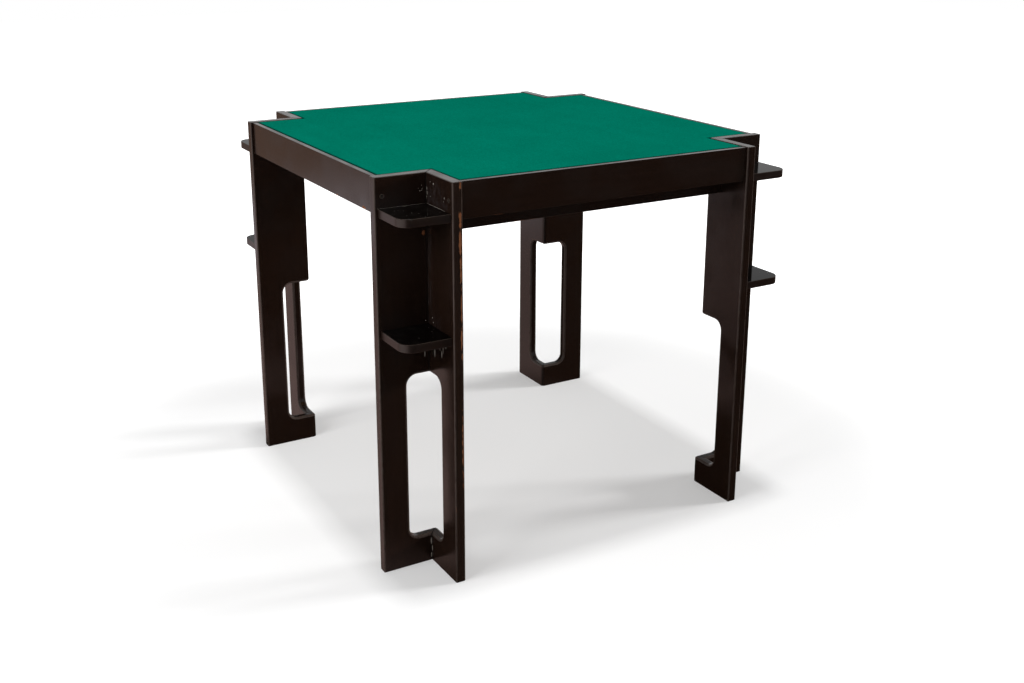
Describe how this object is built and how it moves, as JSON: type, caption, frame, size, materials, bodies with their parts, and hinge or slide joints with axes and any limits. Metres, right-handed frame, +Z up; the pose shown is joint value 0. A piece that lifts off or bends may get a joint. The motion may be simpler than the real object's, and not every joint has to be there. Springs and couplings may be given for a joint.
{
  "type": "square game table",
  "caption": "Square game table with notched corners, two-board legs, small corner shelves, a loose felt-covered top panel and shallow drawers on runners.",
  "frame": {"origin": "on the floor, under the middle of the table", "axes": "+Z up; -Y towards the front, where the front drawer comes out; +X to the right seen from the front; the millimetre sizes in the source are metres here"},
  "size_m": [0.85, 0.85, 0.745],
  "materials": {
    "lacquered_wood": "gloss lacquer",
    "frame_wood": "stained, matt",
    "runner_wood": "waxed hardwood",
    "drawer_wood": "satin",
    "drawer_plywood": "plain plywood",
    "panel_plywood": "plain plywood",
    "dowel_wood": "plain beech",
    "green_felt": "short wool nap",
    "screw_steel": "dull zinc"
  },
  "bodies": {
    "frame": {"apron_back": "lacquered_wood", "apron_front": "lacquered_wood", "apron_left": "lacquered_wood", "apron_right": "lacquered_wood", "apron_screws": "screw_steel", "bearer_left": "frame_wood", "bearer_right": "frame_wood", "bearer_screws": "screw_steel", "cross_rail": "frame_wood", "cross_rail_screws": "screw_steel", "leg_back_left_wing_x": "lacquered_wood", "leg_back_left_wing_y": "lacquered_wood", "leg_back_right_wing_x": "lacquered_wood", "leg_back_right_wing_y": "lacquered_wood", "leg_front_left_wing_x": "lacquered_wood", "leg_front_left_wing_y": "lacquered_wood", "leg_front_right_wing_x": "lacquered_wood", "leg_front_right_wing_y": "lacquered_wood", "runner_left": "runner_wood", "runner_right": "runner_wood", "runner_screws": "screw_steel", "shelf_lower_back_left": "lacquered_wood", "shelf_lower_back_right": "lacquered_wood", "shelf_lower_front_left": "lacquered_wood", "shelf_lower_front_right": "lacquered_wood", "shelf_upper_back_left": "lacquered_wood", "shelf_upper_back_right": "lacquered_wood", "shelf_upper_front_left": "lacquered_wood", "shelf_upper_front_right": "lacquered_wood", "stop_dowels": "dowel_wood"},
    "top_panel": {"top_panel_board": "panel_plywood", "top_panel_felt": "green_felt"},
    "front_drawer": {"front_drawer_back": "drawer_wood", "front_drawer_bottom": "drawer_plywood", "front_drawer_front": "lacquered_wood", "front_drawer_left_rail": "runner_wood", "front_drawer_left_side": "drawer_wood", "front_drawer_right_rail": "runner_wood", "front_drawer_right_side": "drawer_wood"},
    "back_drawer": {"back_drawer_back": "drawer_wood", "back_drawer_bottom": "drawer_plywood", "back_drawer_front": "lacquered_wood", "back_drawer_left_rail": "runner_wood", "back_drawer_left_side": "drawer_wood", "back_drawer_right_rail": "runner_wood", "back_drawer_right_side": "drawer_wood"}
  },
  "joints": [
    {"name": "top_panel_lift", "type": "slide", "parent": "frame", "child": "top_panel", "axis": [0, 0, 1], "range_m": [0, 0.06]},
    {"name": "front_drawer_slide", "type": "slide", "parent": "frame", "child": "front_drawer", "axis": [0, -1, 0], "range_m": [0, 0.24]},
    {"name": "back_drawer_slide", "type": "slide", "parent": "frame", "child": "back_drawer", "axis": [0, 1, 0], "range_m": [0, 0.24]}
  ]
}
